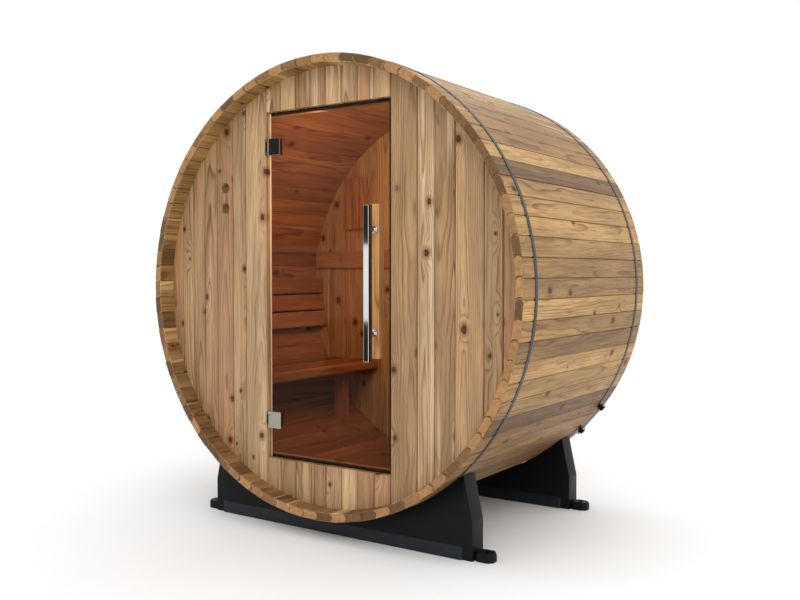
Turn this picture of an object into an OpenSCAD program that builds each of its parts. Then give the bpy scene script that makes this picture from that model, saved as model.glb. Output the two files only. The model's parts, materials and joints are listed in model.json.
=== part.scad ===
// Barrel sauna: a cedar barrel on two moulded cradles, with a glass door in its front wall.
// Millimetres. +Z is up, the door looks along -Y, and the origin is on the ground in the middle.

/* [Barrel] */
// Outer diameter of the barrel, over the corners of the staves
barrel_d = 1829; // [1524:1:2195]
// Length of the staves
barrel_len = 1200; // [1000:1:2400]
// Thickness of a stave
stave_t = 35; // [29:1:42]
// Staves in one panel of the shell
staves_each = 3; // [2:1:4]
// Panels in one segment of the shell
panels_each = 2; // [1:1:2]
// Segments of the shell all round
segments = 13; // [10:1:15]
// Angle of the first joint between staves from the barrel's lowest point
shell_turn = 0.5; // [-2:0.1:2]

/* [End walls] */
// Distance from the stave ends to the outer face of an end wall
wall_recess = 76; // [63:1:92]
// Thickness of an end wall
wall_t = 38; // [32:1:46]
// Depth of the groove in the staves that holds an end wall
groove = 10; // [8:1:12]

/* [Doorway] */
// Width of the doorway
door_w = 630; // [525:1:756]
// Wall left above the top corners of the doorway
door_head = 101; // [84:1:122]
// Wall left below the bottom corners of the doorway
door_sill = 119; // [99:1:143]
// Depth of the glass behind the outer face of the wall
glass_set = 12; // [10:1:15]
// Thickness of the glass
glass_t = 8; // [6:1:10]
// Gap between the glass and the doorway at the top, the bottom and the right
glass_gap = 5; // [5:1:8]
// Width of the strips that frame the doorway inside
stop_w = 45; // [38:1:54]
// Thickness of those strips
stop_t = 20; // [17:1:24]
// How far those strips reach over the doorway
stop_lap = 15; // [12:1:18]
// Width of the black gasket
gasket_w = 8; // [6:1:10]

/* [Door hinges] */
// Height of a hinge
hinge_h = 70; // [58:1:84]
// Width of the plates that clamp the glass
clamp_w = 60; // [50:1:72]
// Thickness of those plates
clamp_t = 4; // [3:0.5:5]
// Distance from the doorway's left edge to the hinge pin, and from the pin to the glass
pin_in = 7; // [7:0.5:9]
// Distance from the glass face to the hinge pin
pin_out = 3; // [3:0.5:4]
// Diameter of the hinge pin
pin_d = 6; // [5:0.5:7]
// Distance from the doorway's top to the middle of the upper hinge
hinge_drop = 145; // [120:1:174]
// Distance from the doorway's bottom to the middle of the lower hinge
hinge_rise = 160; // [133:1:192]

/* [Door handle] */
// Length of the handle's two bars
handle_len = 600; // [500:1:720]
// Side of the square metal bar
bar_w = 25; // [21:1:30]
// Side of the square wooden grip
grip_w = 35; // [29:1:42]
// Distance from the glass to the middle of the metal bar
bar_out = 42; // [38:1:50]
// Distance from the glass's right edge to the handle
handle_in = 78; // [65:1:94]
// Height of the wooden grip's middle above the barrel's axis
handle_z = 30; // [-100:1:100]
// How much lower the metal bar sits than the grip
bar_drop = 8; // [0:1:10]
// Distance between the two bolts of the handle
bolt_pitch = 400; // [333:1:480]
// Diameter of those bolts
bolt_d = 10; // [8:1:12]
// Diameter of the round washers on the glass
washer_d = 30; // [25:1:36]

/* [Hoops] */
// Width of a steel band
band_w = 20; // [13:1:24]
// Thickness of a steel band
band_t = 1.5; // [1:0.1:3]
// Distance from the stave ends to the middle of a band
band_in = 95; // [75:1:105]
// Angle of a tensioner below the horizontal
tensioner_angle = 40; // [30:1:50]
// Distance between the two blocks of a tensioner
block_gap = 108; // [75:1:130]
// Length of a block
block_len = 30; // [25:1:36]
// Height and width of a block
block_w = 24; // [20:1:29]
// Diameter of the threaded rod
rod_d = 8; // [6:1:10]

/* [Cradles] */
// Height of a cradle under the barrel's lowest point
cradle_low = 80; // [67:1:96]
// Length of a cradle without its lugs
cradle_len = 1300; // [1100:1:1500]
// Thickness of a cradle's upright
web_t = 88; // [73:1:106]
// Height of a cradle's foot
foot_h = 48; // [40:1:58]
// How far the foot stands out from the upright on each side
foot_out = 6; // [5:1:8]
// Height where the ends of a cradle start to lean in
shoulder_z = 145; // [121:1:174]
// How far the ends of a cradle lean in
lean = 36; // [30:1:44]
// Height of a cradle's upper corners
cradle_top = 312; // [290:1:340]
// Distance from the stave ends to the middle of a cradle
cradle_in = 160; // [150:1:190]
// Length of a lug
lug_len = 75; // [62:1:90]
// Height of a lug
lug_h = 35; // [29:1:42]
// Width of a lug
lug_w = 60; // [50:1:72]
// Diameter of a lug's bolt hole
lug_hole = 16; // [13:1:19]

/* [Benches] */
// Height of the seats above the lowest point inside
seat_rise = 489; // [407:1:587]
// Distance from the middle of the sauna to the front edge of a seat
seat_x = 450; // [375:1:540]
// Width of a seat board
slat_w = 82; // [68:1:98]
// Thickness of a seat board
slat_t = 28; // [23:1:34]
// Width of the thick board at the front edge
edge_w = 46; // [38:1:55]
// Height of that board
edge_h = 46; // [38:1:55]
// Gap between boards
slat_gap = 8; // [6:1:10]
// Section of the bearers and posts: along the bench and across it
bearer = [38, 64];
// Distance from the middle of the bench to a bearer
bearer_y = 300; // [250:1:360]
// Distance from the front edge board to a post
post_in = 26; // [20:1:40]
// Gap between the ends of a bench and the end walls
bench_end = 3; // [2:1:4]
// Height of the lowest backrest board above the seat
back_rise = 170; // [142:1:204]
// Width of a backrest board
back_w = 80; // [67:1:96]
// Thickness of a backrest board
back_t = 20; // [17:1:24]
// Distance from the staves to the back of a backrest board
back_off = 42; // [35:1:50]

/* [Back wall fittings] */
// Height of the rail's middle above the barrel's axis
rail_z = 132; // [110:1:158]
// Height of the rail
rail_h = 90; // [75:1:108]
// Thickness of the rail and of the vent's battens
rail_t = 20; // [17:1:24]
// Middle of the vent cover, across and above the barrel's axis
vent_at = [-575, 425];
// Height of the vent cover
vent_h = 270; // [225:1:300]
// Width of a vent slat
vent_slat = 38; // [32:1:46]

/* [Vent holes] */
// Diameter of the two holes in the front wall
hole_d = 44; // [37:1:53]
// Distance of the holes from the middle of the front wall
hole_x = 550; // [500:1:600]
// Height of the lower hole above the barrel's axis
hole_z = 341; // [300:1:400]
// Distance between the two holes
hole_pitch = 87; // [72:1:104]

/* [Hidden] */
fit = 0.3;
round_fn = 180;
small_fn = 48;
thin = 0.01;

barrel_r = barrel_d / 2;
stave_n = staves_each * panels_each * segments;
stave_deg = 360 / stave_n;
inner_r = barrel_r - stave_t;
inner_flat = inner_r * cos(stave_deg / 2);
groove_r = inner_r + groove;
wall_r = groove_r - fit;
lining_r = inner_flat - fit;
axis_z = cradle_low + barrel_r + fit;

wall_y = barrel_len / 2 - wall_recess;
wall_in_y = wall_y - wall_t;
door_x = door_w / 2;
corner_z = sqrt(pow(wall_r, 2) - pow(door_x, 2));
door_top = corner_z - door_head;
door_bottom = -(corner_z - door_sill);

glass_y = -wall_y + glass_set;
pin_x = -door_x + pin_in;
pin_y = glass_y - pin_out;
knuckle_r = pin_in - 2;
knuckle_h = hinge_h / 5;
leaf_t = 2.5;
leaf_deep = wall_t - glass_set;
glass_left = pin_x + pin_in;
glass_right = door_x - glass_gap;
hinge_z = [door_top - hinge_drop, door_bottom + hinge_rise];

handle_x = glass_right - handle_in;
bolt_z = [handle_z - bolt_pitch / 2, handle_z + bolt_pitch / 2];

band_r = barrel_r + fit;
block_r = (band_r + band_t) * cos(asin(block_gap / 2 / (band_r + band_t))) + fit;
rod_r = block_r + block_w / 2;
nut_h = 7;
rod_len = block_gap + 2 * block_len + 4 * nut_h;

lug_x = cradle_len / 2 + lug_len / 2;

seat_z = seat_rise - inner_flat;
bearer_top = seat_z - slat_t;
edge_x = seat_x + edge_w;
post_x = edge_x + post_in;
bench_y = wall_in_y - bench_end;
cleat_r = lining_r - back_off;
back_r = cleat_r - back_t;
back_step = 2 * asin((back_w + slat_gap) / 2 / back_r);
back_first = -asin((seat_z + back_rise + back_w / 2) / -back_r);
seat_room = sqrt(pow(lining_r, 2) - pow(bearer_top, 2));
seat_slats = floor((seat_room - edge_x) / (slat_w + slat_gap));

function padded(i) = str(i < 10 ? "0" : "", i);
function shell_name(i) = str("shell_", padded(i));
function arc_point(r, a) = [r * cos(a), r * sin(a)];

// An outline in X and Z, measured from the barrel's axis, carried from y0 to y1
module along_y(y0, y1) {
    translate([0, y1, axis_z]) rotate([90, 0, 0]) linear_extrude(y1 - y0) children();
}

// A box between two corners, measured from the barrel's axis
module block(low, high) {
    translate([low[0], low[1], low[2] + axis_z]) cube(high - low);
}

// A true cylinder along the barrel, measured from its axis
module drum(r, y0, y1) {
    translate([0, y1, axis_z]) rotate([90, 0, 0]) cylinder(r = r, h = y1 - y0, $fn = round_fn);
}

// A hole or bolt along Y, measured from the barrel's axis
module bore_y(x, z, d, y0, y1) {
    translate([x, y1, z + axis_z]) rotate([90, 0, 0]) cylinder(d = d, h = y1 - y0, $fn = small_fn);
}

// Outline of a panel: its staves side by side, cut back a little where it meets the next panels
module panel_outline(first) {
    cut = asin(fit / 2 / barrel_r);
    inner = [for (k = [1:staves_each - 1]) first + k * stave_deg];
    corners = concat([first + cut], inner, [first + staves_each * stave_deg - cut]);
    polygon(concat(
        [for (a = corners) arc_point(barrel_r, a)],
        [for (k = [staves_each:-1:0]) arc_point(inner_r, corners[k])]));
}

// Panels of staves side by side, with the grooves that hold the end walls
module shell_segment(i) {
    color("burlywood") for (k = [0:panels_each - 1]) difference() {
        along_y(-barrel_len / 2, barrel_len / 2)
            panel_outline(shell_turn - 90 + ((i - 1) * panels_each + k) * staves_each * stave_deg);
        drum(groove_r, -wall_y - fit, -wall_in_y + fit);
        drum(groove_r, wall_in_y - fit, wall_y + fit);
    }
}

// The round front wall, without its doorway
module front_disc() {
    drum(wall_r, -wall_y, -wall_in_y);
}

module front_wall_left() {
    color("tan") difference() {
        intersection() {
            front_disc();
            block([-barrel_r, -wall_y, -barrel_r], [-door_x, -wall_in_y, barrel_r]);
        }
        for (z = [hole_z, hole_z + hole_pitch])
            bore_y(-hole_x, z, hole_d, -wall_y - 1, -wall_in_y + 1);
        for (z = hinge_z)
            block([-door_x - leaf_t, -wall_y - 1, z - hinge_h / 2],
                  [-door_x + 1, -wall_y + leaf_deep, z + hinge_h / 2]);
    }
}

module front_wall_right() {
    color("tan") intersection() {
        front_disc();
        block([door_x, -wall_y, -barrel_r], [barrel_r, -wall_in_y, barrel_r]);
    }
}

module front_wall_over_door() {
    color("tan") intersection() {
        front_disc();
        block([-door_x, -wall_y, door_top], [door_x, -wall_in_y, barrel_r]);
    }
}

module front_wall_under_door() {
    color("tan") intersection() {
        front_disc();
        block([-door_x, -wall_y, -barrel_r], [door_x, -wall_in_y, door_bottom]);
    }
}

module back_wall() {
    color("tan") drum(wall_r, wall_in_y, wall_y);
}

module back_wall_rail() {
    reach = sqrt(pow(lining_r, 2) - pow(rail_z + rail_h / 2, 2)) - bench_end;
    color("peru")
        block([-reach, wall_in_y - rail_t, rail_z - rail_h / 2], [reach, wall_in_y, rail_z + rail_h / 2]);
}

// Three upright slats on two battens
module back_vent_cover() {
    pitch = vent_slat + slat_gap;
    half_w = pitch + vent_slat / 2;
    color("burlywood") {
        for (k = [-1:1])
            block([vent_at[0] + k * pitch - vent_slat / 2, wall_in_y - 2 * rail_t, vent_at[1] - vent_h / 2],
                  [vent_at[0] + k * pitch + vent_slat / 2, wall_in_y - rail_t, vent_at[1] + vent_h / 2]);
        for (z = [vent_at[1] - vent_h / 4, vent_at[1] + vent_h / 4])
            block([vent_at[0] - half_w, wall_in_y - rail_t - thin, z - rail_t],
                  [vent_at[0] + half_w, wall_in_y, z + rail_t]);
    }
}

// Strips on the inside face of the wall that lap over the doorway at the top, the right and the bottom
module door_stops() {
    out = stop_w - stop_lap;
    color("burlywood") difference() {
        block([-door_x, -wall_in_y, door_bottom - out], [door_x + out, -wall_in_y + stop_t, door_top + out]);
        block([-door_x - 1, -wall_in_y - 1, door_bottom + stop_lap],
              [door_x - stop_lap, -wall_in_y + stop_t + 1, door_top - stop_lap]);
    }
}

// Black gasket in the doorway, behind the glass at the top, the right and the bottom
module door_gasket() {
    front = glass_y + glass_t + glass_gap + 1;
    color("black") difference() {
        block([-door_x, front, door_bottom], [door_x, -wall_in_y, door_top]);
        block([-door_x - 1, front - 1, door_bottom + gasket_w],
              [door_x - gasket_w, -wall_in_y + 1, door_top - gasket_w]);
    }
}

module door_glass() {
    color("sienna", 0.5) difference() {
        block([glass_left, glass_y, door_bottom + glass_gap], [glass_right, glass_y + glass_t, door_top - glass_gap]);
        for (z = bolt_z) bore_y(handle_x, z, bolt_d + 2, glass_y - 1, glass_y + glass_t + 1);
    }
}

// Upright cylinder on the hinge pin's axis
module on_pin(r, z0, z1) {
    translate([pin_x, pin_y, axis_z + z0]) cylinder(r = r, h = z1 - z0, $fn = small_fn);
}

// Leaf let into the doorway's side, with the two outer knuckles and the pin
module hinge_leaf(z) {
    low = z - hinge_h / 2;
    high = z + hinge_h / 2;
    color("silver") {
        block([-door_x - leaf_t, -wall_y, low], [-door_x, -wall_y + leaf_deep, high]);
        on_pin(pin_d / 2, low, high);
        for (z0 = [low, high - knuckle_h]) {
            on_pin(knuckle_r, z0, z0 + knuckle_h);
            block([-door_x - thin, pin_y - knuckle_r, z0], [pin_x, pin_y + knuckle_r, z0 + knuckle_h]);
        }
    }
}

// Two plates that grip the edge of the glass, with the middle knuckle
module hinge_clamp(z) {
    low = z - hinge_h / 2;
    high = z + hinge_h / 2;
    back_y = glass_y + glass_t + fit;
    web_x = pin_x + knuckle_r / 2;
    knuckle_low = low + knuckle_h + 0.5;
    knuckle_high = high - knuckle_h - 0.5;
    color("silver") difference() {
        union() {
            block([glass_left, glass_y - clamp_t, low], [glass_left + clamp_w, glass_y - fit, high]);
            block([glass_left, back_y, low], [glass_left + clamp_w, back_y + clamp_t, high]);
            block([web_x, glass_y - clamp_t, knuckle_low], [glass_left - fit, back_y + clamp_t, knuckle_high]);
            block([glass_left - 2 * fit, glass_y - clamp_t, knuckle_low],
                  [glass_left + thin, glass_y - fit, knuckle_high]);
            block([glass_left - 2 * fit, back_y, knuckle_low],
                  [glass_left + thin, back_y + clamp_t, knuckle_high]);
            on_pin(knuckle_r, knuckle_low, knuckle_high);
        }
        on_pin(pin_d / 2 + fit, low, high);
    }
}

module handle_bar() {
    y = glass_y - bar_out;
    z = handle_z - bar_drop;
    color("gainsboro")
        block([handle_x - bar_w / 2, y - bar_w / 2, z - handle_len / 2],
              [handle_x + bar_w / 2, y + bar_w / 2, z + handle_len / 2]);
}

module handle_grip() {
    y = glass_y + glass_t + fit;
    color("wheat") difference() {
        block([handle_x - grip_w / 2, y, handle_z - handle_len / 2],
              [handle_x + grip_w / 2, y + grip_w, handle_z + handle_len / 2]);
        for (z = bolt_z) bore_y(handle_x, z, bolt_d + 2 * fit, y - 1, y + grip_w + 1);
    }
}

// Bolts through the glass, each with a round washer, a post to the bar and a cap nut
module handle_bolts() {
    bar_back = glass_y - bar_out + bar_w / 2;
    grip_back = glass_y + glass_t + fit + grip_w;
    color("gainsboro") for (z = bolt_z) {
        bore_y(handle_x, z, bolt_d, bar_back, grip_back + 1);
        bore_y(handle_x, z, washer_d, glass_y - 3 - fit, glass_y - fit);
        bore_y(handle_x, z, 1.6 * bolt_d, bar_back, glass_y - 3);
        bore_y(handle_x, z, 1.8 * bolt_d, grip_back + fit, grip_back + 5);
    }
}

// A steel band, open between the blocks of its tensioner
module band(y, side) {
    color("dimgray") difference() {
        drum(band_r + band_t, y - band_w / 2, y + band_w / 2);
        drum(band_r, y - band_w / 2 - 1, y + band_w / 2 + 1);
        tensioner_frame(y, side)
            translate([-block_gap / 2, -band_w, barrel_r / 2]) cube([block_gap, 2 * band_w, barrel_r]);
    }
}

// Frame of a tensioner: X along the band, Y along the barrel, Z straight out from the axis
module tensioner_frame(y, side) {
    translate([0, y, axis_z]) rotate([0, side * (90 + tensioner_angle), 0]) children();
}

// Two blocks on the ends of a band, drawn together by a threaded rod
module tensioner(y, side) {
    color("black") tensioner_frame(y, side) {
        for (s = [-1, 1]) difference() {
            translate([s * (block_gap + block_len) / 2 - block_len / 2, -block_w / 2, block_r])
                cube([block_len, block_w, block_w]);
            translate([-rod_len / 2, 0, rod_r]) rotate([0, 90, 0])
                cylinder(d = rod_d + 2 * fit, h = rod_len, $fn = small_fn);
        }
        translate([-rod_len / 2, 0, rod_r]) rotate([0, 90, 0]) cylinder(d = rod_d, h = rod_len, $fn = small_fn);
        for (s = [-1, 1]) translate([s * (block_gap / 2 + block_len + nut_h / 2) - nut_h / 2, 0, rod_r])
            rotate([0, 90, 0]) cylinder(d = 1.9 * rod_d, h = nut_h, $fn = 6);
    }
}

// A moulded cradle: an upright hollowed to the barrel on a wider foot, with a drilled lug at each end
module cradle(y) {
    half = cradle_len / 2;
    color("dimgray") {
        difference() {
            union() {
                translate([0, y + web_t / 2, 0]) rotate([90, 0, 0]) linear_extrude(web_t) polygon([
                    [-half, 0], [half, 0], [half, shoulder_z], [half - lean, cradle_top],
                    [-half + lean, cradle_top], [-half, shoulder_z]]);
                translate([-half, y - web_t / 2 - foot_out, 0]) cube([cradle_len, web_t + 2 * foot_out, foot_h]);
                for (s = [-1, 1]) translate([s * lug_x - lug_len / 2 - s, y - lug_w / 2, 0])
                    cube([lug_len, lug_w, lug_h]);
            }
            drum(barrel_r + fit, y - web_t, y + web_t);
            for (s = [-1, 1]) translate([s * lug_x, y, -1])
                cylinder(d = lug_hole, h = lug_h + 2, $fn = small_fn);
        }
    }
}

// A box on one side of the sauna, from x = near to x = far outwards
module side_block(side, near, far, y0, y1, z0, z1) {
    block([min(side * near, side * far), y0, z0], [max(side * near, side * far), y1, z1]);
}

// Boards of a seat: flat ones, and a thicker one at the front edge
module bench_seat(side) {
    color("peru") {
        side_block(side, seat_x, edge_x, -bench_y, bench_y, seat_z - edge_h, seat_z);
        for (k = [0:seat_slats - 1]) {
            near = edge_x + slat_gap + k * (slat_w + slat_gap);
            side_block(side, near, near + slat_w, -bench_y, bench_y, seat_z - slat_t, seat_z);
        }
    }
}

// Bearers from the staves to the front edge, each with a post down to the staves
module bench_frames(side) {
    color("sienna") for (y = [-bearer_y, bearer_y]) {
        y0 = y - bearer[0] / 2;
        y1 = y + bearer[0] / 2;
        intersection() {
            union() {
                side_block(side, edge_x + fit, barrel_r, y0, y1, bearer_top - bearer[1], bearer_top);
                side_block(side, post_x, post_x + bearer[1], y0, y1, -barrel_r, bearer_top - bearer[1] + thin);
            }
            drum(lining_r, y0 - 1, y1 + 1);
        }
    }
}

// Three boards that follow the staves, on two cleats
module bench_backrest(side) {
    color("peru") {
        for (k = [0:2]) rotate_about_axis(side, back_first + k * back_step)
            translate([back_r, -bench_y, -back_w / 2]) cube([back_t - fit, 2 * bench_y, back_w]);
        low = back_first - 0.45 * back_step;
        high = back_first + 2.45 * back_step;
        for (y = [-bearer_y, bearer_y]) intersection() {
            difference() {
                drum(lining_r, y - bearer[0] / 2, y + bearer[0] / 2);
                for (k = [0:2]) rotate_about_axis(side, back_first + k * back_step)
                    translate([0, y - bearer[0], -(back_w + 2 * slat_gap) / 2])
                        cube([cleat_r, 2 * bearer[0], back_w + 2 * slat_gap]);
            }
            along_y(y - bearer[0], y + bearer[0]) polygon(concat([[0, 0]],
                [for (a = [low, (low + high) / 2, high]) arc_point(1.2 * barrel_r, side > 0 ? a : 180 - a)]));
        }
    }
}

// X straight out from the axis at an angle above the horizontal, on one side
module rotate_about_axis(side, a) {
    translate([0, 0, axis_z]) mirror([side < 0 ? 1 : 0, 0, 0]) rotate([0, -a, 0]) children();
}

for (i = [1:segments]) shell_segment(i);
front_wall_left();
front_wall_right();
front_wall_over_door();
front_wall_under_door();
back_wall();
back_wall_rail();
back_vent_cover();
door_stops();
door_gasket();
door_glass();
hinge_leaf(hinge_z[0]);  // hinge_leaf_upper
hinge_leaf(hinge_z[1]);  // hinge_leaf_lower
hinge_clamp(hinge_z[0]);  // hinge_clamp_upper
hinge_clamp(hinge_z[1]);  // hinge_clamp_lower
handle_bar();
handle_grip();
handle_bolts();
band(-barrel_len / 2 + band_in, -1);  // band_front
band(barrel_len / 2 - band_in, 1);  // band_rear
tensioner(-barrel_len / 2 + band_in, -1);  // tensioner_front
tensioner(barrel_len / 2 - band_in, 1);  // tensioner_rear
cradle(cradle_in - barrel_len / 2);  // cradle_front
cradle(barrel_len / 2 - cradle_in);  // cradle_rear
bench_seat(-1);  // bench_left_seat
bench_frames(-1);  // bench_left_frames
bench_backrest(-1);  // bench_left_backrest
bench_seat(1);  // bench_right_seat
bench_frames(1);  // bench_right_frames
bench_backrest(1);  // bench_right_backrest
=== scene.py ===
import json
import math

import bpy
import numpy as np
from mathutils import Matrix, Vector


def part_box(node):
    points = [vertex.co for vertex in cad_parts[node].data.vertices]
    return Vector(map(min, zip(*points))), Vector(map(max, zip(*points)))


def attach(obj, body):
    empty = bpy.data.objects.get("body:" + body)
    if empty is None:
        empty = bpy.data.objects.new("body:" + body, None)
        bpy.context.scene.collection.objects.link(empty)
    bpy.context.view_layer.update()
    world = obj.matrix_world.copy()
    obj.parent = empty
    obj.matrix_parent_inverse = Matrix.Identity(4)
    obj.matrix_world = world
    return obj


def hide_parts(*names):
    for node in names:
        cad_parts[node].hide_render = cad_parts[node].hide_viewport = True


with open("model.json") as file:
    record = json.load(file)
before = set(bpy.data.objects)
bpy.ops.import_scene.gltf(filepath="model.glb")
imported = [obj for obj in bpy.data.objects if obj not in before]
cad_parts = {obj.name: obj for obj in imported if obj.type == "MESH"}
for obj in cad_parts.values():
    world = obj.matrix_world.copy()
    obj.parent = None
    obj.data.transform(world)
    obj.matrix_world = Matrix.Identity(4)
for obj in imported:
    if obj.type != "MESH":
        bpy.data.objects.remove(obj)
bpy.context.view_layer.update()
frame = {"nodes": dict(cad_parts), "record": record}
print("frame loaded:", len(frame["nodes"]), "nodes")

rng = np.random.default_rng(47)  # another number gives every board another grain and tone

# Sizes of the barrel that the pieces share, in metres, read from the frame where it holds them
wallLow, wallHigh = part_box("back_wall")
barrel = dict(
    axisZ=(wallLow.z + wallHigh.z) / 2,
    wallRadius=(wallHigh.x - wallLow.x) / 2,
    outerRadius=0.9145,
    staveThickness=0.035,
    staveCount=78,
    firstJoint=-89.5,  # degrees round the axis, seen from the door
    halfLength=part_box("shell_01")[1].y,
    wallOuter=wallHigh.y,  # outer face of either end wall, from the middle
    wallInner=wallLow.y,
)
# Radius on which the benches' supports end, just inside the staves
barrel["lining"] = barrel["outerRadius"] - barrel["staveThickness"] - 0.0011


# Evenly spaced directions round a full circle
def circle(count):
    return np.linspace(0, 2 * math.pi, count, endpoint=False)


# Rings of points from X, Y and Z, each a number, a row for the outline or a column for the rings
def ringsOf(x, y, z):
    return np.stack(np.broadcast_arrays(x, y, z), -1)


# An outline of (across, up) pairs, each a number or one value for every ring, as two tables
def outlineTables(pairs, ringCount):
    across = np.stack([np.broadcast_to(a, ringCount) for a, b in pairs], 1)
    up = np.stack([np.broadcast_to(b, ringCount) for a, b in pairs], 1)
    return across, up


# Surface of rings, rings along the first index and the outline round the second. Quad (i, j) joins ring i
# to ring i+1 and point j to point j+1. Each end gets one face, or on a hoop the last ring joins the first.
def closedGrid(points, hoop=False):
    points = np.asarray(points, float)
    n, m = points.shape[:2]
    i, j = np.meshgrid(np.arange(n if hoop else n - 1), np.arange(m), indexing="ij")
    nextI = (i + 1) % n
    nextJ = (j + 1) % m
    corners = [i * m + j, i * m + nextJ, nextI * m + nextJ, nextI * m + j]
    faces = np.stack(corners, -1).reshape(-1, 4).tolist()
    if not hoop:
        faces.append(list(range(m - 1, -1, -1)))
        faces.append(list(range((n - 1) * m, n * m)))
    return points.reshape(-1, 3), faces


# Where boards lie in their logs, in metres along the pith, across it and below it, and how far the pith
# leans to the board, which is what draws the arches on its face
log = dict(along=9, across=0.03, shallow=0.03, deep=0.11, slope=0.02)


# Place of each point in its log: (distance along the grain, offset across, depth below the pith)
def timber(points, along, slope=log["slope"]):
    axes = {"x": (0, 1, 2), "y": (1, 0, 2), "z": (2, 0, 1)}[along]
    p = points[:, axes] - points[:, axes].mean(0)
    shift = rng.uniform([-log["along"], -log["across"], log["shallow"]],
                        [log["along"], log["across"], log["deep"]])
    side = rng.choice([-1, 1], 2)
    tilt = rng.uniform(-slope, slope, 2)
    return p * [1, *side] + shift + np.outer(p[:, 0], [0, *tilt])


boardTone = dict(middle=0.52, spread=0.3)  # lightness of the boards that aren't picked out


# Lightness, redness and sapwood share of one board, each from 0 to 1; dark lowers the lightness where a board
# gets painted shade
def anyTone(dark=0.0):
    tone = rng.uniform(0, 1, 3)
    tone[0] = np.clip(rng.normal(boardTone["middle"] - dark, boardTone["spread"]), 0, 1)
    return tone


# Reads one vector of each point or face as a table with three columns
def readVectors(items, key):
    values = np.empty(len(items) * 3, np.float32)
    items.foreach_get(key, values)
    return values.reshape(-1, 3).astype(float)


# Writes a table with three columns as an attribute of the points
def writeVectors(mesh, key, table):
    attribute = mesh.attributes.new(key, "FLOAT_VECTOR", "POINT")
    attribute.data.foreach_set("vector", table.astype(np.float32).ravel())


def newObject(name, data):
    made = bpy.data.objects.new(name, data)
    bpy.context.scene.collection.objects.link(made)
    return made


# Gives the picked faces of a mesh a second finish
def secondFinish(mesh, material, picked):
    mesh.materials.append(material)
    mesh.polygons.foreach_set("material_index", picked.astype(np.int32))


# Gathers closed surfaces into one mesh, each with its own place in the timber and its tone
class Batch:
    def __init__(self):
        self.points = []
        self.faces = []
        self.grain = []
        self.tone = []
        self.count = 0

    def add(self, surface, grain=None, tone=(0.5, 0.5, 0.5)):
        points, faces = surface
        self.faces += [[v + self.count for v in face] for face in faces]
        self.points.append(points)
        self.grain.append(np.zeros_like(points) if grain is None else grain)
        self.tone.append(np.broadcast_to(np.asarray(tone, float), points.shape))
        self.count += len(points)

    # Wood draws its place in the log first, and then its tone where none is given
    def addWood(self, surface, along, tone=None, slope=log["slope"]):
        grain = timber(surface[0], along, slope)
        self.add(surface, grain, anyTone() if tone is None else tone)

    def mesh(self, name):
        mesh = bpy.data.meshes.new(name)
        mesh.from_pydata(np.concatenate(self.points).tolist(), [], self.faces)
        writeVectors(mesh, "grain", np.concatenate(self.grain))
        writeVectors(mesh, "tone", np.concatenate(self.tone))
        return mesh

    def build(self, name, material, body, slotName, replaced, smooth=None):
        mesh = self.mesh(name)
        mesh.validate()
        mesh.materials.append(material)
        if smooth is not None:
            mesh.shade_smooth()
            mesh.set_sharp_from_angle(angle=math.radians(smooth))
        piece = newObject(name, mesh)
        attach(piece, body)
        if replaced:
            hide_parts(*replaced)
        return piece


# Turns points made with the length on Y so that it lies on X, Y or Z, keeping the handedness
def orient(points, along):
    if along == "x":
        return np.stack([points[..., 1], -points[..., 0], points[..., 2]], -1)
    if along == "z":
        return np.stack([points[..., 0], -points[..., 2], points[..., 1]], -1)
    return points


flatEdge = 0.0002  # how far a corner's shading may reach onto the flat beside it
tip = 1e-4  # radius to which a turned piece closes


# Rectangle about the origin with round corners, counter-clockwise: each corner is its centre plus
# radius times (cos t, sin t)
def roundedLoop(width, height, radius, steps=3):
    t = np.linspace(0, math.pi / 2, steps + 1)
    loop = []
    for quarter, (sx, sy) in enumerate([(1, 1), (-1, 1), (-1, -1), (1, -1)]):
        a = t + quarter * math.pi / 2
        arc = np.stack([sx * (width / 2 - radius) + radius * np.cos(a),
                        sy * (height / 2 - radius) + radius * np.sin(a)], -1)
        before = arc[0] - flatEdge * np.array([-math.sin(a[0]), math.cos(a[0])])
        after = arc[-1] + flatEdge * np.array([-math.sin(a[-1]), math.cos(a[-1])])
        loop += [before[None], arc, after[None]]
    return np.concatenate(loop)


# Board between two corners: a rounded rectangle carried along one axis, and at both ends drawn in by
# radius times (1 - sin t) where it is radius times (1 - cos t) from the end
def plank(low, high, along, radius, steps=3):
    low = np.asarray(low, float)
    high = np.asarray(high, float)
    sizeX, sizeY, sizeZ = high - low
    length, width, height = {"x": (sizeX, sizeY, sizeZ), "y": (sizeY, sizeX, sizeZ),
                             "z": (sizeZ, sizeX, sizeY)}[along]
    t = np.linspace(0, math.pi / 2, steps + 1)
    inset = np.concatenate([[radius + flatEdge], radius * (1 - np.sin(t)), [0]])
    place = np.concatenate([[0], radius * (1 - np.cos(t)), [radius + flatEdge]]) - length / 2
    inset = np.concatenate([inset, inset[::-1]])[:, None]
    place = np.concatenate([place, -place[::-1]])[:, None]
    loop = roundedLoop(width, height, radius, steps)
    rings = ringsOf(loop[:, 0] * (1 - 2 * inset / width), place, loop[:, 1] * (1 - 2 * inset / height))
    points, faces = closedGrid(orient(rings[::-1], along))
    return points + (low + high) / 2, faces


# Round piece: a profile of (radius, distance) pairs turned about a line, point = radius times (cos t, sin t)
def lathe(profile, centre, along, segments):
    profile = np.asarray(profile, float)
    t = circle(segments)
    rings = ringsOf(profile[:, :1] * np.cos(t), profile[:, 1:], profile[:, :1] * np.sin(t))
    points, faces = closedGrid(orient(rings[::-1], along))
    return points + np.asarray(centre, float), faces


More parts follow.
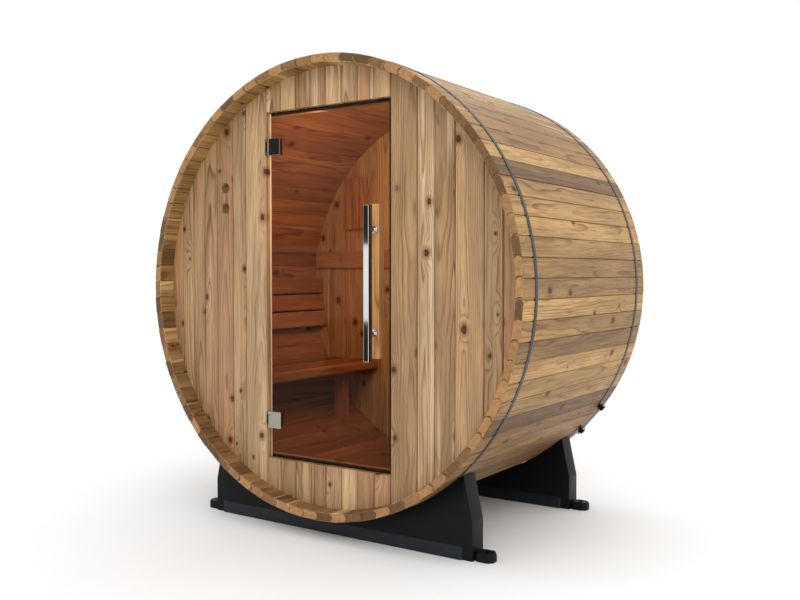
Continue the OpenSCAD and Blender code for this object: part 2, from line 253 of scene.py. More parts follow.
# One material and short words for its nodes. A value is a number, a colour or another node's output.
class Finish:
    def __init__(self, name):
        self.material = bpy.data.materials.new(name)
        self.material.use_nodes = True
        self.nodes = self.material.node_tree.nodes
        self.links = self.material.node_tree.links
        self.shader = self.nodes["Principled BSDF"]

    def feed(self, slot, value):
        if isinstance(value, (int, float)):
            slot.default_value = value
        elif isinstance(value, tuple):
            slot.default_value = (*value, 1)
        else:
            self.links.new(value, slot)

    # A node with its settings made, and its first inputs fed in order
    def node(self, kind, *values, **settings):
        made = self.nodes.new("ShaderNode" + kind)
        for key, setting in settings.items():
            setattr(made, key, setting)
        for slot, value in zip(made.inputs, values):
            self.feed(slot, value)
        return made

    def surface(self, socket, value):
        self.feed(self.shader.inputs[socket], value)

    def attribute(self, name):
        return self.node("Attribute", attribute_name=name).outputs["Vector"]

    def place(self, kind="Object"):
        return self.node("TexCoord").outputs[kind]

    def parts(self, vector):
        return self.node("SeparateXYZ", vector).outputs

    def math(self, kind, *values):
        return self.node("Math", *values, operation=kind).outputs[0]

    def times(self, a, b):
        return self.math("MULTIPLY", a, b)

    def plus(self, a, b):
        return self.math("ADD", a, b)

    def vector(self, kind, a, b=None):
        node = self.node("VectorMath", a, operation=kind)
        if b is not None:
            self.feed(node.inputs["Scale" if kind == "SCALE" else 1], b)
        return node.outputs["Value" if kind == "LENGTH" else "Vector"]

    def mix(self, factor, a, b, kind="MIX"):
        node = self.node("Mix", factor, data_type="RGBA", blend_type=kind)
        self.feed(node.inputs[6], a)
        self.feed(node.inputs[7], b)
        return node.outputs[2]

    # The base mixed with itself times a tint
    def tint(self, factor, base, color):
        return self.mix(factor, base, self.mix(1.0, base, color, "MULTIPLY"))

    # Maps one span of values to another; the middle of a noise is the usual span
    def stretch(self, value, span=(0.3, 0.7), to=(0.0, 1.0), smooth=True):
        kind = "SMOOTHSTEP" if smooth else "LINEAR"
        return self.node("MapRange", value, *span, *to, interpolation_type=kind).outputs[0]

    def scaled(self, vector, factors, offset=(0, 0, 0)):
        node = self.node("Mapping", vector)
        node.inputs["Scale"].default_value = factors
        node.inputs["Location"].default_value = offset
        return node.outputs[0]

    # Noise of one scale, or of three where it is drawn out along the grain
    def noise(self, vector, scale, detail=3.0, roughness=0.55, offset=(0, 0, 0), output=0):
        if isinstance(scale, tuple):
            vector = self.scaled(vector, scale, offset)
            scale = 1.0
        node = self.node("TexNoise", vector)
        node.inputs["Scale"].default_value = scale
        node.inputs["Detail"].default_value = detail
        node.inputs["Roughness"].default_value = roughness
        return node.outputs[output]

    def relief(self, height, strength, distance):
        bump = self.node("Bump", strength, distance)
        self.links.new(height, bump.inputs["Height"])
        self.surface("Normal", bump.outputs[0])


# How the wood is drawn. A scale is per metre along, across and into the board, a tint multiplies the
# board's colour, and the other lengths are in metres.
figure = dict(
    knotCells=(4.2, 9.0),  # per metre along and across, of which only some hold a knot
    knotRadius=(0.0035, 0.0135),
    knotStretch=1.25,  # how much longer than wide
    knotWobble=0.0018,
    wobbleScale=120,
    bendStretch=3.2,  # the rings bend round a knot this much longer than wide,
    bendReach=0.030,  # from this far away
    bendDepth=0.016,  # by as much
    knotCentre=(0.060, 0.028, 0.013),
    knotEdge=(0.012, 0.006, 0.003),
    knotRimTint=(0.55, 0.36, 0.22),
    ringGap=0.0068,
    ringPeak=0.86,  # share of a ring that darkens before it falls off
    ringPower=3.4,
    ringTint=(0.44, 0.31, 0.21),
    ringShadeScale=(1.2, 16, 16),
    wanderScale=(2.2, 9, 9),
    wander=0.026,
    fibreScale=(9, 420, 420),
    fibreTint=(0.62, 0.52, 0.43),
    broadScale=(1.1, 30, 18),
    streakScale=(2.6, 170, 90),
    streakTint=(0.50, 0.41, 0.33),
    paleTint=(1.35, 1.38, 1.42),
    sapScale=(0.9, 26, 9),
    cloudScale=(1.7, 15, 12),
    splitScale=(7, 150, 150),
    splitTint=(0.40, 0.29, 0.20),
    endRingTint=(0.6, 0.45, 0.34),
    endFibreTint=(0.6, 0.5, 0.42),
    endRoughScale=60.0,
    shine=0.28,
    bump=0.25,
    bumpHeight=0.0008,
)


# Knotty cedar. A knot is a spot round a cell's centre. Growth rings are the distance from the pith, which
# wanders and bends round the knots; a ring darkens by a power of its phase and then falls off. Fibres,
# streaks, clouds, splits and sapwood are noise drawn out along the grain; where the sap colour is pale,
# its streaks also paint sheen.
def cedar(name, wood):
    f = Finish(name)
    grain = f.attribute("grain")
    lightness, redness, sapShare = f.parts(f.attribute("tone"))

    along, across = figure["knotCells"]
    cells = f.node("TexVoronoi", f.scaled(grain, (along, across, 1.0)), voronoi_dimensions="2D")
    cells.inputs["Scale"].default_value = 1.0
    delta = f.vector("SUBTRACT", f.scaled(grain, (along, across, 0.0)), cells.outputs["Position"])
    near, wide = [f.vector("LENGTH", f.scaled(delta, (1 / along / longer, 1 / across, 0)))
                  for longer in (figure["knotStretch"], figure["bendStretch"])]
    chance, size = list(f.node("SeparateColor", cells.outputs["Color"]).outputs)[:2]
    present = f.stretch(chance, (1 - wood["knots"], 1 - wood["knots"] + 0.02))
    radius = f.stretch(size, (0.0, 1.0), figure["knotRadius"], smooth=False)
    wobble = f.stretch(f.noise(grain, figure["wobbleScale"], 2),
                       to=(-figure["knotWobble"], figure["knotWobble"]), smooth=False)
    ratio = f.math("DIVIDE", f.plus(near, wobble), radius)
    knotCore = f.times(f.stretch(ratio, (0.75, 1.1), (1, 0)), present)
    knotRim = f.times(f.stretch(ratio, (1.0, 2.6), (1, 0)), present)
    bend = f.times(f.stretch(wide, (0.0, figure["bendReach"]), (1, 0)), present)

    wander = f.noise(grain, figure["wanderScale"], 2, 0.5, output="Color")
    moved = f.vector("ADD", grain, f.vector("SCALE", wander, figure["wander"]))
    offset, depth = list(f.parts(moved))[1:]
    depth = f.plus(depth, f.times(bend, figure["bendDepth"]))
    pith = f.math("SQRT", f.plus(f.times(offset, offset), f.times(depth, depth)))
    phase = f.math("FRACT", f.times(pith, 1 / figure["ringGap"]))
    rise = f.math("POWER", f.stretch(phase, (0.0, figure["ringPeak"]), smooth=False), figure["ringPower"])
    ring = f.times(rise, f.stretch(phase, (figure["ringPeak"], 1.0), (1, 0)))
    ring = f.times(ring, f.stretch(f.noise(moved, figure["ringShadeScale"], 2), to=(0.25, 1.0)))

    fibre = f.noise(grain, figure["fibreScale"], 3, 0.6)
    broad = f.noise(moved, figure["broadScale"], 2, 0.5)
    streak = f.noise(moved, figure["streakScale"], 4, 0.65)
    cloud = f.noise(moved, figure["cloudScale"], 3, 0.6, (7, 2, 4))
    split = f.noise(moved, figure["splitScale"], 2, 0.5, (2, 1, 6))
    # Sapwood streaks; where the sap colour is pale, as on the walls, they also paint sheen
    sapAndSheenBand = f.stretch(f.noise(grain, figure["sapScale"], 1, offset=(3, 5, 1)), (0.50, 0.66))
    sapAndSheenBand = f.times(sapAndSheenBand, f.stretch(sapShare, (0.35, 0.9)))

    base = f.mix(f.stretch(lightness, (0.0, 1.0), smooth=False), wood["dark"], wood["light"])
    base = f.mix(f.stretch(broad, to=(0.0, 0.4)), base, wood["mid"])
    base = f.mix(f.stretch(redness, (0.45, 1.0), (0.0, 0.75)), base, wood["red"])
    base = f.mix(f.times(sapAndSheenBand, 0.8), base, wood["sapAndSheen"])
    base = f.tint(ring, base, figure["ringTint"])
    base = f.tint(f.stretch(fibre, (0.45, 0.7), (0, 0.6)), base, figure["fibreTint"])
    base = f.tint(f.stretch(streak, (0.47, 0.72), (0, wood["streaks"])), base, figure["streakTint"])
    base = f.tint(f.stretch(streak, (0.45, 0.28), (0, wood["streaks"])), base, figure["paleTint"])
    clouds = f.stretch(cloud, (0.32, 0.68), (1 - wood["clouds"], 1 + wood["clouds"]))
    base = f.mix(1.0, base, clouds, "MULTIPLY")
    base = f.tint(f.stretch(split, (0.64, 0.70), (0, wood["splits"])), base, figure["splitTint"])
    base = f.tint(f.times(knotRim, 0.75), base, figure["knotRimTint"])
    knotColor = f.mix(f.stretch(ratio, (0.2, 1.0)), figure["knotCentre"], figure["knotEdge"])
    base = f.mix(f.times(knotCore, 0.92), base, knotColor)
    if "ends" in wood:
        base = endGrain(f, base, wood["ends"], (lightness, redness, sapShare), ring, fibre)

    f.surface("Base Color", base)
    f.surface("Roughness", f.plus(f.stretch(fibre, to=(-0.06, 0.08), smooth=False), wood["roughness"]))
    f.surface("Specular IOR Level", figure["shine"])
    height = f.plus(f.times(fibre, 0.7), f.times(ring, -0.5))
    f.relief(f.plus(height, f.times(knotCore, -0.8)), figure["bump"], figure["bumpHeight"])
    return f.material


# Sawn ends, where the normal lies along the barrel. Each is between two colours by the fraction of a sum
# of its board's tones, which differs from board to board.
def endGrain(f, base, ends, tones, ring, fibre):
    lightness, redness, sapShare = tones
    sawn = f.stretch(f.math("ABSOLUTE", f.parts(f.place("Normal"))[1]), (0.75, 0.95))
    mark = f.plus(f.times(lightness, 5.3), f.times(redness, 2.7))
    mark = f.math("FRACT", f.plus(mark, sapShare))
    color = f.mix(f.stretch(mark, (0.15, 1.0)), *ends)
    color = f.tint(f.times(ring, 0.55), color, figure["endRingTint"])
    color = f.tint(f.stretch(fibre, (0.4, 0.7), (0, 0.5)), color, figure["endFibreTint"])
    rough = f.noise(f.place(), figure["endRoughScale"], 4)
    color = f.mix(1.0, color, f.stretch(rough, to=(0.8, 1.15)), "MULTIPLY")
    return f.mix(sawn, base, color)


# Metal, plastic or rubber: a colour that varies with noise, and a fine relief of the same noise
def plainMaterial(name, color, roughness, metallic=0.0, speckle=0.2, scale=60.0, bump=0.1, shine=0.5,
                  drawn=(1, 1, 1)):
    f = Finish(name)
    place = f.place()
    grainy = f.noise(f.scaled(place, drawn), scale, 4)
    cloud = f.noise(place, 5.0, 3)
    darker = tuple(c * (1 - speckle) for c in color)
    lighter = tuple(min(1, c * (1 + speckle)) for c in color)
    mixed = f.mix(f.stretch(grainy), darker, lighter)
    f.surface("Base Color", f.mix(f.stretch(cloud, (0.4, 0.7), (0, 0.5)), mixed, darker))
    f.surface("Roughness", f.stretch(grainy, (0.2, 0.8), (roughness * 0.85, roughness * 1.15)))
    f.surface("Metallic", metallic)
    f.surface("Specular IOR Level", shine)
    f.relief(grainy, bump, 0.0006)
    return f.material


pane = dict(
    tint=(0.925, 0.80, 0.665),
    mirrorColor=(0.9, 0.9, 0.9),
    mirrorRoughness=0.02,
    headOn=0.006,  # share that the surface mirrors seen straight on
    grazing=0.96,  # what is added to it at a grazing angle
    filmColor=(0.8, 0.78, 0.76),
    filmFrom=0.9,  # the white film of dust and painted reflection begins at this height
    filmTo=1.6,  # and is full at this one
    dustAndReflection=0.011,
)


# Tinted clear glass: light passes straight through with the tint, and the surface mirrors by the fifth
# power of its angle. A thin diffuse white film that grows with height stands for dust and paints the pale
# reflection on the upper glass.
def bronzeGlass(name):
    f = Finish(name)
    f.nodes.remove(f.shader)
    clear = f.node("BsdfTransparent", pane["tint"])
    mirror = f.node("BsdfGlossy", pane["mirrorColor"], pane["mirrorRoughness"])
    facing = f.node("LayerWeight", 0.5).outputs["Facing"]
    share = f.plus(f.times(f.math("POWER", facing, 5.0), pane["grazing"]), pane["headOn"])
    glass = f.node("MixShader", share, clear.outputs[0], mirror.outputs[0])
    # White diffuse film, fuller higher up: dust, and painted reflection on the upper glass
    film = f.node("BsdfDiffuse", pane["filmColor"])
    dustAndReflection = f.stretch(f.parts(f.place())[2], (pane["filmFrom"], pane["filmTo"]), (0.0, pane["dustAndReflection"]))
    filmedGlass = f.node("MixShader", dustAndReflection, glass.outputs[0], film.outputs[0])
    f.links.new(filmedGlass.outputs[0], f.nodes["Material Output"].inputs["Surface"])
    return f.material


# Each wood is between dark and light by its boards' lightness, with broad stretches of mid, red boards and
# streaks of sap, which on the walls also paint sheen. Knots, streaks, splits and clouds run from 0, none, to
# 1.
# Ends are its sawn ends' colours.
staveWood = cedar("staveCedar", dict(
    light=(0.55, 0.335, 0.122), mid=(0.36, 0.20, 0.066), dark=(0.138, 0.072, 0.024),
    red=(0.345, 0.178, 0.064), sapAndSheen=(0.60, 0.43, 0.21), knots=0.36, streaks=0.36, splits=0.8, clouds=0.2,
    roughness=0.5, ends=((0.42, 0.228, 0.090), (0.125, 0.064, 0.026))))
# On the walls the pale sap streaks are partly sapwood and partly painted sheen of the light along the boards
wallWood = cedar("wallCedar", dict(
    light=(0.62, 0.42, 0.225), mid=(0.42, 0.25, 0.117), dark=(0.245, 0.135, 0.058),
    red=(0.45, 0.235, 0.118), sapAndSheen=(0.74, 0.58, 0.40), knots=0.5, streaks=0.2, splits=0.35, clouds=0.17,
    roughness=0.40))
# Darker, redder copy of the cedar for the room: its darkness paints part of the shade inside the barrel
shadedRoomWood = cedar("shadedRoomCedar", dict(
    light=(0.44, 0.205, 0.090), mid=(0.33, 0.145, 0.058), dark=(0.21, 0.082, 0.031),
    red=(0.34, 0.135, 0.055), sapAndSheen=(0.46, 0.25, 0.12), knots=0.5, streaks=0.4, splits=0.35, clouds=0.2,
    roughness=0.5))
gripWood = cedar("gripWood", dict(
    light=(0.95, 0.90, 0.76), mid=(0.91, 0.84, 0.68), dark=(0.84, 0.76, 0.58),
    red=(0.90, 0.81, 0.65), sapAndSheen=(0.96, 0.92, 0.82), knots=0.0, streaks=0.15, splits=0.35, clouds=0.2,
    roughness=0.35))
bandSteel = plainMaterial("bandSteel", (0.046, 0.057, 0.064), 0.38, metallic=0.85, speckle=0.1, scale=90)
blackSteel = plainMaterial("blackSteel", (0.008, 0.008, 0.009), 0.42, scale=120, shine=0.15)
zincSteel = plainMaterial("zincSteel", (0.46, 0.48, 0.51), 0.34, metallic=1.0, speckle=0.1, scale=140)
chrome = plainMaterial("chrome", (0.68, 0.72, 0.70), 0.06, metallic=1.0, speckle=0.02, scale=200, bump=0.01)
hingeSteel = plainMaterial("hingeSteel", (0.33, 0.315, 0.26), 0.16, metallic=1.0, speckle=0.05, scale=160,
                           bump=0.03, drawn=(1, 1, 12))
cradlePlastic = plainMaterial("cradlePlastic", (0.0055, 0.006, 0.0072), 0.45, scale=240, bump=0.25,
                              shine=0.12)
# Lighter, bluer plastic that paints the sheen on the sloping faces of the cradles' feet
footSheenPlastic = plainMaterial("footSheenPlastic", (0.0125, 0.0165, 0.022), 0.42, bump=0.12, shine=0.2)
groundGlass = plainMaterial("groundGlass", (0.94, 0.83, 0.64), 0.35, speckle=0.05, scale=90, bump=0.05)
gasketRubber = plainMaterial("gasketRubber", (0.005, 0.005, 0.005), 0.7, scale=200, shine=0.1)
doorGlass = bronzeGlass("bronzeGlass")
print("materials made")


stave = dict(
    gap=0.0019,  # between neighbours
    chamfer=0.0025,  # along the outer and inner corners
    bead=0.0095,  # how far the round edge bulges
    beadPoints=11,
    endRound=0.0026,  # softened end corners
    endSpread=0.0026,  # how unevenly the ends are sawn
    faceSpread=0.0008,  # how unevenly the faces lie
    grooveRoom=0.0003,  # play of the end walls in their groove
    grooveStep=1e-5,  # length of the groove's steep sides
    roomDepth=0.006,  # faces this far inside the groove's round are the room's
    underFrom=0.25,  # the boards underneath get painted shade, from this sine of the angle
    underOver=0.4,  # over this much of it
    underPaintedShade=0.6,  # painted shade takes this much of their lightness
)


# Outline of a stave across the grain, as (sideways, outwards) pairs, counter-clockwise. Its anticlockwise
# edge bulges by bead times 4 s (1 - s), and its clockwise edge is hollowed by as much.
def staveProfile(outer, inner, half):
    s = np.linspace(0, 1, stave["beadPoints"])
    bulge = stave["bead"] * 4 * s * (1 - s)
    c = stave["chamfer"]
    top = outer - c
    low = inner + c
    height = top + (low - top) * s
    reach = height * math.tan(half)
    right = np.stack([reach - stave["gap"] / 2 + bulge, height], -1)
    left = np.stack([-reach + stave["gap"] / 2 + bulge, height], -1)
    outerFace = [[-outer * math.tan(half) + c, outer], [outer * math.tan(half) - c, outer]]
    innerFace = [[inner * math.tan(half) - c, inner], [-inner * math.tan(half) + c, inner]]
    return np.concatenate([right, innerFace, left[::-1], outerFace])


# A stave: its outline carried along the barrel, drawn in at both ends by the softened corners, and kept
# out of the groove for each end wall. The second result is the same stave laid flat, for its timber.
def staveRings(angle, lowEnd, highEnd, sink):
    half = math.pi / barrel["staveCount"]
    outer = barrel["outerRadius"] * math.cos(half) - sink
    inner = (barrel["outerRadius"] - barrel["staveThickness"]) * math.cos(half) - sink
    loop = staveProfile(outer, inner, half)
    r = stave["endRound"]
    step = stave["grooveStep"]
    g0 = barrel["wallInner"] - stave["grooveRoom"]
    g1 = barrel["wallOuter"] + stave["grooveRoom"]
    along = np.array([lowEnd, lowEnd + r, -g1, -g1 + step, -g0 - step, -g0,
                      g0, g0 + step, g1 - step, g1, highEnd - r, highEnd])
    inGroove = np.array([0, 0, 0, 1, 1, 0, 0, 1, 1, 0, 0, 0], bool)
    drawn = np.zeros(len(along))
    drawn[[0, -1]] = r
    middle = (outer + inner) / 2
    out = middle + (loop[:, 1] - middle) * (1 - drawn / (outer - middle))[:, None]
    side = loop[:, 0] * (1 - drawn / (outer * math.tan(half)))[:, None]
    out[inGroove] = np.maximum(out[inGroove], barrel["wallRadius"] + stave["grooveRoom"])
    c = math.cos(angle)
    s = math.sin(angle)
    flat = ringsOf(side, along[:, None], out - inner).reshape(-1, 3)
    return ringsOf(out * c - side * s, along[:, None], out * s + side * c + barrel["axisZ"]), flat


# Boards picked out by tone, counted up the right side from the bottom: (lightness, redness, sapwood)
chosenTones = {
    8: (0.1, 0.3, 0.1), 9: (0.2, 0.2, 0.2), 10: (0.4, 0.1, 0.3), 11: (0.3, 0.2, 0.2), 12: (0.0, 0.4, 0.0),
    13: (0.6, 0.3, 0.1), 14: (0.8, 0.2, 0.3), 15: (0.9, 0.1, 0.4), 16: (0.2, 0.5, 0.0), 17: (0.5, 0.5, 0.0),
    18: (1.0, 0.1, 0.3), 19: (0.4, 0.3, 0.2), 20: (0.45, 0.3, 0.1), 21: (0.6, 0.2, 0.1), 22: (0.95, 0.1, 0.2),
    23: (0.75, 0.1, 0.2), 24: (0.8, 0.2, 0.1), 25: (0.0, 0.3, 0.0), 26: (0.85, 0.2, 0.7), 27: (0.4, 1.0, 0.1),
    28: (0.5, 0.7, 0.2), 29: (0.4, 0.6, 1.0), 30: (0.45, 0.3, 0.9), 31: (0.7, 0.0, 1.0), 32: (0.8, 0.0, 0.9),
}


# Gives the room's side of the staves the room's darker, redder wood, whose darkness paints part of the shade
# inside
def lineRoom(piece):
    centres = readVectors(piece.data.polygons, "center")
    radius = np.hypot(centres[:, 0], centres[:, 2] - barrel["axisZ"])
    deep = radius < barrel["wallRadius"] - stave["roomDepth"]
    secondFinish(piece.data, shadedRoomWood, deep & (np.abs(centres[:, 1]) < barrel["wallInner"]))


shellNodes = sorted(n for n in frame["nodes"] if n.startswith("shell_"))
perSegment = barrel["staveCount"] // len(shellNodes)
for number, nodeName in enumerate(shellNodes):
    batch = Batch()
    for index in range(number * perSegment, (number + 1) * perSegment):
        turn = math.radians(barrel["firstJoint"] + (index + 0.5) * 360 / barrel["staveCount"])
        ends = rng.uniform(0, stave["endSpread"], 2)
        rings, flat = staveRings(turn, -barrel["halfLength"] + ends[0], barrel["halfLength"] - ends[1],
                                 rng.uniform(0, stave["faceSpread"]))
        # Painted shade: the further under the barrel a board lies, the darker its tone is drawn
        under = np.clip((-math.sin(turn) - stave["underFrom"]) / stave["underOver"], 0, 1)
        tone = anyTone(dark=stave["underPaintedShade"] * under)
        batch.add(closedGrid(rings), timber(flat, "y"), chosenTones.get(index, tone))
    name = "staves_" + nodeName[-2:]
    lineRoom(batch.build(name, staveWood, "barrel", "stave_cedar", [nodeName], smooth=28))
print("staves made")


wallBoard = dict(
    vee=0.0048,  # V cut along each joint, on both faces
    crown=0.0008,  # how far the face is rounded
    touch=0.0003,  # gap between neighbours
    slit=0.0012,  # wider gap from the front to the tongue
    tongue=0.5,  # where the tongue lies in the thickness
    facePoints=9,
    rows=7,
)


# An upright board between x0 and x1. Its outline across the grain has a small V at each edge of both faces;
# its ends follow lowZ(x) and highZ(x), so a board under a round rim ends on the arc.
def boardRings(x0, x1, yOut, yIn, lowZ, highZ):
    v = wallBoard["vee"]
    g = wallBoard["slit"]
    a = x0 + wallBoard["touch"] / 2
    b = x1 - wallBoard["touch"] / 2
    s = np.linspace(0, 1, wallBoard["facePoints"])
    sign = math.copysign(1, yOut - yIn)
    face = a + v + (b - a - 2 * v) * s
    crown = wallBoard["crown"] * (1 - (2 * s - 1) ** 2) - wallBoard["crown"]
    front = np.stack([face, yOut + sign * crown], -1)
    back = np.stack([face[::-1], np.full_like(face, yIn)], -1)
    deep = yOut + (yIn - yOut) * wallBoard["tongue"]
    edgeB = [[b - g, yOut - sign * v], [b - g, deep], [b, deep], [b, yIn + sign * v]]
    edgeA = [[a, yIn + sign * v], [a, deep], [a + g, deep], [a + g, yOut - sign * v]]
    loop = np.concatenate([front, edgeB, back, edgeA])
    if sign > 0:
        loop = loop[::-1]
    t = np.linspace(0, 1, wallBoard["rows"])[:, None]
    low = lowZ(loop[:, 0])
    high = highZ(loop[:, 0])
    return ringsOf(loop[:, 0], loop[:, 1], low + (high - low) * t + barrel["axisZ"])


# Ends of the boards: on the arc of the wall's rim, above or below the axis, or at one height
def rim(x):
    return np.sqrt(np.maximum(barrel["wallRadius"] ** 2 - x ** 2, 1e-6))


def rimBelow(x):
    return -rim(x)


def level(z):
    return lambda x: np.full_like(x, z - barrel["axisZ"])


# A wall of boards between the joints; tones may give each board (lightness, redness, sapwood)
def wall(name, joints, nodeName, lowZ, highZ, front=True, tones=None):
    side = -1 if front else 1
    batch = Batch()
    for k, (x0, x1) in enumerate(zip(joints[:-1], joints[1:])):
        rings = boardRings(x0, x1, side * barrel["wallOuter"], side * barrel["wallInner"], lowZ, highZ)
        batch.addWood(closedGrid(rings), "z", tones[k] if tones else None)
    return batch.build(name, wallWood, "barrel", "wall_cedar", [nodeName])


# Joints between boards of about one width, which fill the stretch evenly
def spread(start, stop, width):
    return np.linspace(start, stop, max(1, round(abs(stop - start) / width)) + 1)


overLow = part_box("front_wall_over_door")[0]
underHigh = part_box("front_wall_under_door")[1]
doorHalf = underHigh.x
edge = barrel["wallRadius"] - 0.0004
walls = dict(
    right=[doorHalf, 0.435, 0.511, 0.598, 0.717, 0.795, edge],
    left=[-edge, -0.815, -0.748, -0.676, -0.602, -0.507, -0.432, -doorHalf],
    # each front board's (lightness, redness, sapwood); a high sapwood share also places painted sheen streaks
    rightTones=[(0.35, 0.5, 0.2), (1.0, 0.1, 1.0), (0.25, 0.4, 0.9), (0.65, 0.65, 0.35), (0.45, 0.2, 0.5),
                (0.35, 0.9, 0.1)],
    leftTones=[(0.3, 0.9, 0.2), (0.6, 0.2, 0.6), (0.35, 0.6, 0.9), (0.35, 0.7, 0.6), (0.3, 0.8, 0.4),
               (0.45, 0.2, 0.5), (0.6, 0.1, 0.5)],
    shortWidth=0.079,  # boards over and under the door
    backWidth=0.105,
    backSap=0.6,  # share of sapwood left at the back
    holeChamfer=0.0035,
    holeTone=(0.35, 0.45, 0.1),  # fresh wood in the vent holes
)
wall("front_boards_right", walls["right"], "front_wall_right", rimBelow, rim, tones=walls["rightTones"])
leftBoards = wall("front_boards_left", walls["left"], "front_wall_left", rimBelow, rim,
                  tones=walls["leftTones"])
shortJoints = spread(-doorHalf, doorHalf, walls["shortWidth"])
wall("front_boards_over_door", shortJoints, "front_wall_over_door", level(overLow.z), rim)
wall("front_boards_under_door", shortJoints, "front_wall_under_door", rimBelow, level(underHigh.z))
backJoints = spread(-edge, edge, walls["backWidth"])
backTones = [anyTone() * (1, 1, walls["backSap"]) for joint in backJoints[1:]]
wall("back_boards", backJoints, "back_wall", rimBelow, rim, front=False, tones=backTones)
print("walls made")


# Cuts round holes through a wall with a soft outer edge, and leaves the cut mesh on the piece. The cut loses
# the timber attributes, so each board's are fitted again as the straight-line map from places that they are.
def drillHoles(piece, joints, centres, radius):
    chamfer = walls["holeChamfer"]
    past = 0.01  # how far the drill reaches past both faces
    y0 = -barrel["wallOuter"]
    y1 = -barrel["wallInner"]
    profile = [(tip, y0 - past), (radius + chamfer + past, y0 - past), (radius, y0 + chamfer),
               (radius, y1 + past), (tip, y1 + past)]
    drill = Batch()
    for x, z in centres:
        drill.add(lathe(profile, (x, 0, z), "y", 48))
    cutter = newObject("drill", drill.mesh("drill"))
    cut = piece.modifiers.new("holes", "BOOLEAN")
    cut.object = cutter
    cut.operation = "DIFFERENCE"
    cut.solver = "EXACT"
    bpy.context.view_layer.update()
    done = bpy.data.meshes.new_from_object(piece.evaluated_get(bpy.context.evaluated_depsgraph_get()))
    piece.modifiers.clear()
    uncut = piece.data
    piece.data = done
    bpy.data.objects.remove(cutter)
    oldPlaces = readVectors(uncut.vertices, "co")
    places = readVectors(done.vertices, "co")
    oldBoard = np.searchsorted(joints, oldPlaces[:, 0])
    board = np.searchsorted(joints, places[:, 0])
    oldPlaces = np.hstack([oldPlaces, np.ones((len(oldPlaces), 1))])
    withOne = np.hstack([places, np.ones((len(places), 1))])
    for key in ("grain", "tone"):
        old = readVectors(uncut.attributes[key].data, "vector")
        new = np.zeros_like(places)
        for k in range(1, len(joints)):
            fit = np.linalg.lstsq(oldPlaces[oldBoard == k], old[oldBoard == k], rcond=None)[0]
            new[board == k] = withOne[board == k] @ fit
        if key == "tone":
            for x, z in centres:
                new[np.hypot(places[:, 0] - x, places[:, 2] - z) < radius + 0.0003] = walls["holeTone"]
        if key in done.attributes:
            done.attributes.remove(done.attributes[key])
        writeVectors(done, key, new)


ventHoles = [m for m in frame["record"]["mounts"] if m["name"].startswith("vent_hole")]
drillHoles(leftBoards, walls["left"], [(m["pos_m"][0], m["pos_m"][2]) for m in ventHoles],
           ventHoles[0]["dims"]["r_mm"] / 1000)
print("vent holes drilled")


bandLow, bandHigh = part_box("band_rear")
band = dict(
    thickness=0.0015,
    width=bandHigh.y - bandLow.y,
    edgeRound=0.0006,
    segments=360,
    tensioner=40,  # degrees below the side of the barrel
    halfGap=0.054,  # from the gap's middle to each block's inner nut
    strapRoom=0.004,
    dotRadius=0.0042,
    dotHeight=0.0009,
    dotAhead=0.0145,  # from the band's middle towards the door
    dotSunk=0.0006,
)
band["radius"] = bandHigh.x - band["thickness"]


# Middle of a node along the barrel
def middleY(nodeName):
    low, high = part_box(nodeName)
    return (low.y + high.y) / 2


# Small black discs on the round of the staves at each joint, just on the door side of each band
def jointDots(name, bandMiddle):
    radius = band["dotRadius"]
    height = band["dotHeight"]
    profile = [(tip, -0.001), (radius, -0.001), (radius, height * 0.6), (radius * 0.8, height), (tip, height)]
    points, faces = lathe(profile, (0, 0, 0), "x", 10)
    out = points[:, 0] + band["radius"] - band["dotSunk"]
    up = points[:, 2]
    batch = Batch()
    for a in np.radians(barrel["firstJoint"] + circle(barrel["staveCount"]) * 180 / math.pi):
        placed = ringsOf(out * math.cos(a) - up * math.sin(a), points[:, 1] + bandMiddle - band["dotAhead"],
                         out * math.sin(a) + up * math.cos(a) + barrel["axisZ"])
        batch.add((placed, faces))
    batch.build(name, blackSteel, "barrel", "tensioner_black", [], smooth=35)


# A strap round the barrel from one block to the other: a rounded strip carried round the circle
def strap(name, nodeName, side):
    middle = band["radius"] + band["thickness"] / 2
    loop = roundedLoop(band["width"], band["thickness"], band["edgeRound"], 2)
    centre = math.radians(-band["tensioner"] if side > 0 else 180 + band["tensioner"])
    gap = math.asin((band["halfGap"] + band["strapRoom"]) / middle)
    t = np.linspace(centre + gap, centre + 2 * math.pi - gap, band["segments"])[:, None]
    radius = middle + loop[:, 1]
    rings = ringsOf(radius * np.cos(t), middleY(nodeName) + loop[:, 0], radius * np.sin(t) + barrel["axisZ"])
    batch = Batch()
    batch.add(closedGrid(rings))
    batch.build(name, bandSteel, "barrel", "band_steel", [nodeName], smooth=40)


jointDots("dots_front", middleY("band_front"))
jointDots("dots_rear", middleY("band_rear"))
strap("strap_front", "band_front", -1)
strap("strap_rear", "band_rear", 1)


kit = dict(
    blockSize=0.024,
    blockLength=0.030,
    blockRound=0.003,
    nutRoom=0.0092,  # between the gap's edge and the block, where the inner nut sits
    seatRoom=0.0003,  # between the block and the band
    # nuts and washer: start and end from the gap's edge, radius, sides
    nuts=((0.030, 0.037, 0.0075, 6), (0.0065, 0.0089, 0.0118, 28), (0.0, 0.0063, 0.0095, 6)),
    nutCorner=0.0008,
    rodRadius=0.004,
    rodReach=0.098,
    pitch=0.00125,
    thread=0.0007,  # depth
)


# Threaded rod: radius = outer radius - thread depth times the triangle wave of (distance / pitch -
# angle / full turn)
def threadedRod(radius, length, sides=24):
    t = circle(sides)
    d = np.linspace(-length / 2, length / 2, int(length / kit["pitch"] * 6) + 1)[:, None]
    wave = np.abs(((d / kit["pitch"] - t / (2 * math.pi)) % 1) * 2 - 1)
    r = radius - kit["thread"] * wave
    r[[0, -1]] = radius - 0.0009
    return ringsOf(d, r * np.cos(t), r * np.sin(t))


